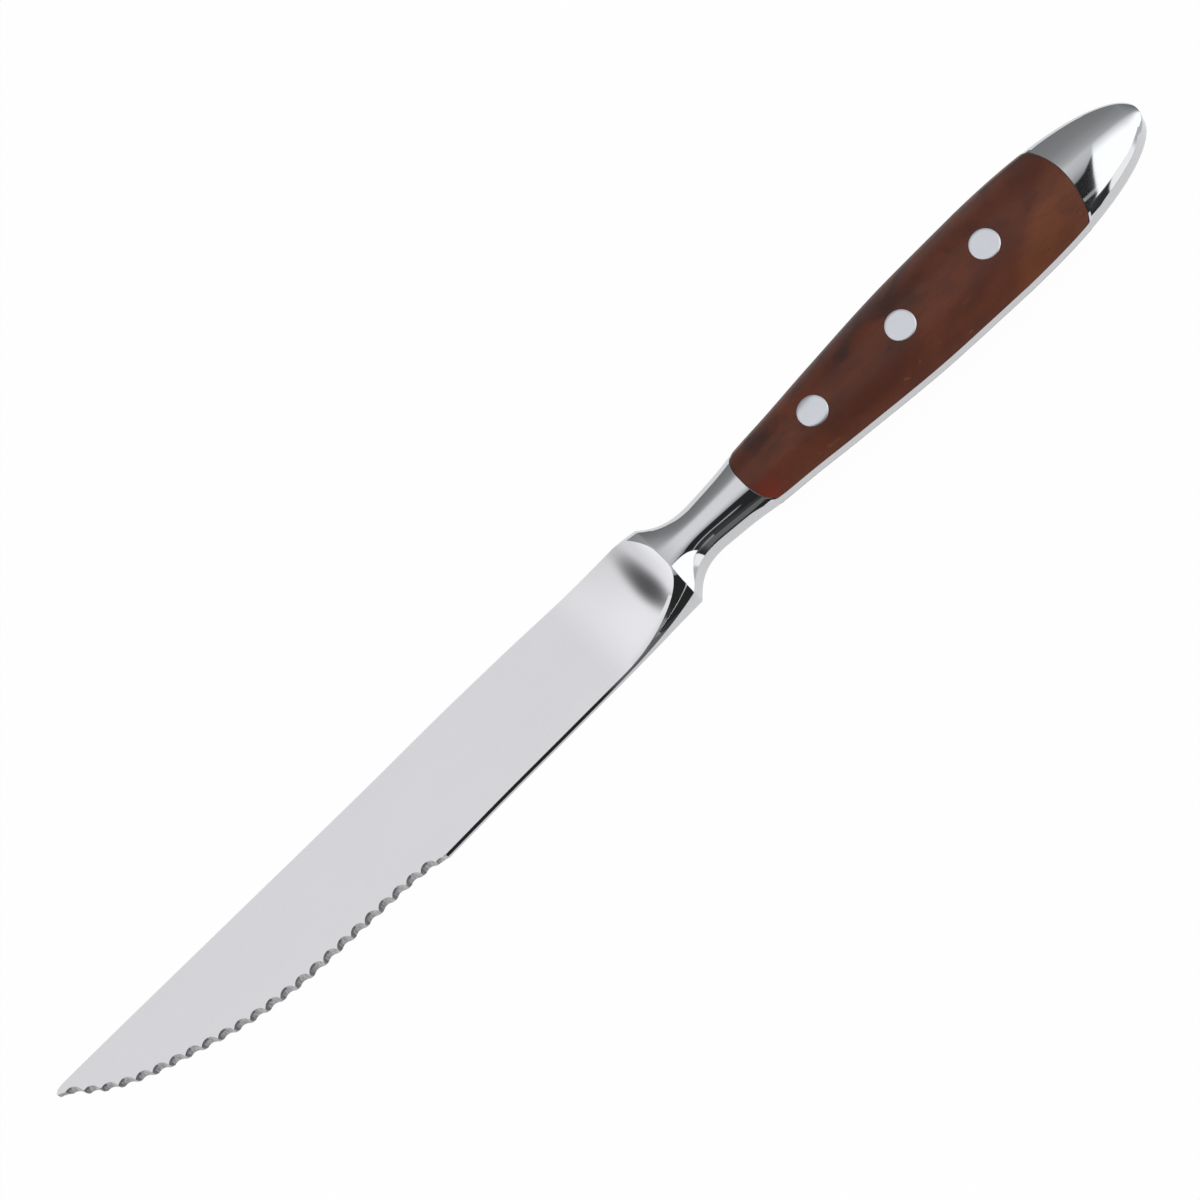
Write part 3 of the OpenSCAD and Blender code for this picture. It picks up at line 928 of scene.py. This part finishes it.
# Table, light and camera
def table():
    bm = bmesh.new()
    bmesh.ops.create_grid(bm, x_segments=2, y_segments=2, size=30)
    mesh = bpy.data.meshes.new("table_top")
    bm.to_mesh(mesh)
    bm.free()
    obj = bpy.data.objects.new("table_top", mesh)
    bpy.context.scene.collection.objects.link(obj)
    obj.location.z = cad_box[0].z - 0.05 * MM
    material = bpy.data.materials.new("white_table")
    p = Paint(material)
    paper = p.noise(p.object_point(), 300.0, 2.0)
    pale = p.mix(paper, (0.88, 0.88, 0.88), (0.90, 0.90, 0.90))
    lit = p.node("ShaderNodeBsdfDiffuse", {}, {"Color": pale})
    white = p.node("ShaderNodeEmission", {}, {"Strength": 1.0})
    seen = p.node("ShaderNodeLightPath", out="Is Camera Ray")
    for ray in ("Is Glossy Ray", "Is Transmission Ray"):
        seen = seen.math("MAXIMUM", p.node("ShaderNodeLightPath", out=ray))
    mixed = p.node("ShaderNodeMixShader", {}, [seen * 0.98, lit, white])
    p.node("ShaderNodeOutputMaterial", {}, {"Surface": mixed})
    mesh.materials.append(material)


def studio():
    """Light tent, open at the camera, with a bright panel on the right and a dark post on the left"""
    world = bpy.data.worlds.new("light_tent")
    bpy.context.scene.world = world
    p = Paint(world)
    way = p.node("ShaderNodeTexCoord", out="Generated")
    side, across, up = [p.node("ShaderNodeSeparateXYZ", {}, [way], out=i) for i in range(3)]
    tilt = across.math("ARCTAN2", up) * (180 / math.pi)
    turn = side.math("ARCTAN2", up) * (180 / math.pi)
    brightest = 2.0
    # Greys by the angle of tilt, from the camera's side over the top to the far side
    greys = [(-90, 0.02), (-79, 0.03), (-76, 0.17), (-60, 0.18), (-57, 0.38), (-53, 0.3), (-50, 0.06),
             (-38, 0.04), (-36, 0.55), (-33.5, 0.5), (-32, 0.03), (-9.5, 0.03), (-7, 0.45), (-2, 0.6),
             (4, 0.8), (12, 0.93), (20, 1.0), (26, 0.82), (33, 0.64), (40, 0.46), (47, 0.4), (56, 0.33),
             (65, 0.3), (90, 0.25)]
    stops = [((angle + 90) / 180, (value / brightest,) * 3) for angle, value in greys]
    tent = p.node("ShaderNodeValToRGB", {"stops": stops}, [(tilt + 90) / 180]) * brightest
    # Greyer towards the pommel, brighter overhead towards the tip
    tent = tent * (1 - side.step(0.12, 0.26) * (1 - tilt.step(28, 44)) * 0.22)
    tent = tent * (1 - side.step(0.18, 0.75) * tilt.step(8, 24) * 0.3)
    to_tip = side * -1
    tent = p.blend(to_tip.step(0.55, 0.62) * tilt.step(-5, 5), tent, 1.05)
    # Dark post on the left
    off = ((turn + 30.6) / 4.8) ** 2 + ((across - 0.3286) / 0.07) ** 2
    tent = tent * (0.07 + off.step(0.1, 1.5) * 0.93)
    # Low down on the camera's side: dark on the right, light on the left
    low = 1 - tilt.step(-58, -46)
    tent = p.blend(low * side.step(0.05, 0.3), tent, 0.04)
    tent = p.blend(low * to_tip.step(0.25, 0.45), tent, 1.0)
    # Dark on the camera's side towards the tip, and at its foot already from the middle
    curtain = to_tip.step(0.05, 0.075) * tilt.step(-62, -56) * (1 - tilt.step(-14, -10))
    tent = p.blend(curtain, tent, 0.03)
    hem = to_tip.step(0.02, 0.04) * tilt.step(-62, -59) * (1 - tilt.step(-50, -47))
    tent = p.blend(hem, tent, 0.06)
    # Dark corner beside the panel
    limit = ((side - 0.262) * 300).clamped(0, 17)
    wedge = side.step(0.25, 0.262) * (1 - side.step(0.32, 0.33)) * (1 - (tilt - limit).step(-9.5, -7))
    tent = p.blend(wedge * tilt.step(-32, -30), tent, 0.03)
    # Panel on the right
    panel = (side - tilt * 0.00107 - 0.31).step(-0.003, 0.003) * (1 - tilt.step(3, 28)) * tilt.step(-52, -46)
    tent = p.blend(panel, tent, 1.6)
    floor = (side - 0.345).step(-0.01, 0.01) * (1 - tilt.step(-52, -46))
    tent = p.blend(floor, tent, 1.3 - side.step(0.58, 0.68) * 0.65)
    light = p.node("ShaderNodeBackground", {}, {"Color": tent, "Strength": 1.0})
    p.node("ShaderNodeOutputWorld", {}, {"Surface": light})


def camera():
    """The photo's view: from the cutting edge's side, with the knife rising to the right"""
    lean, roll = math.radians(20.4), math.radians(43.75)
    distance, lens = 1.0, 190.7
    aim_x, aim_up = 115.67, 3.2
    sight = Vector((0, math.sin(lean), -math.cos(lean)))
    up_face = Vector((0, math.cos(lean), math.sin(lean)))
    along = Vector((1, 0, 0))
    right = along * math.cos(roll) - up_face * math.sin(roll)
    up = along * math.sin(roll) + up_face * math.cos(roll)
    target = set_down(aim_x, 0, 0) + up_face * aim_up * MM
    data = bpy.data.cameras.new("camera")
    data.lens = lens
    data.sensor_width = 36
    obj = bpy.data.objects.new("camera", data)
    bpy.context.scene.collection.objects.link(obj)
    turn = Matrix((right, up, -sight)).transposed()
    obj.matrix_world = Matrix.Translation(target - sight * distance) @ turn.to_4x4()
    bpy.context.scene.camera = obj


table()
studio()
camera()
bpy.context.scene.view_settings.view_transform = "Standard"
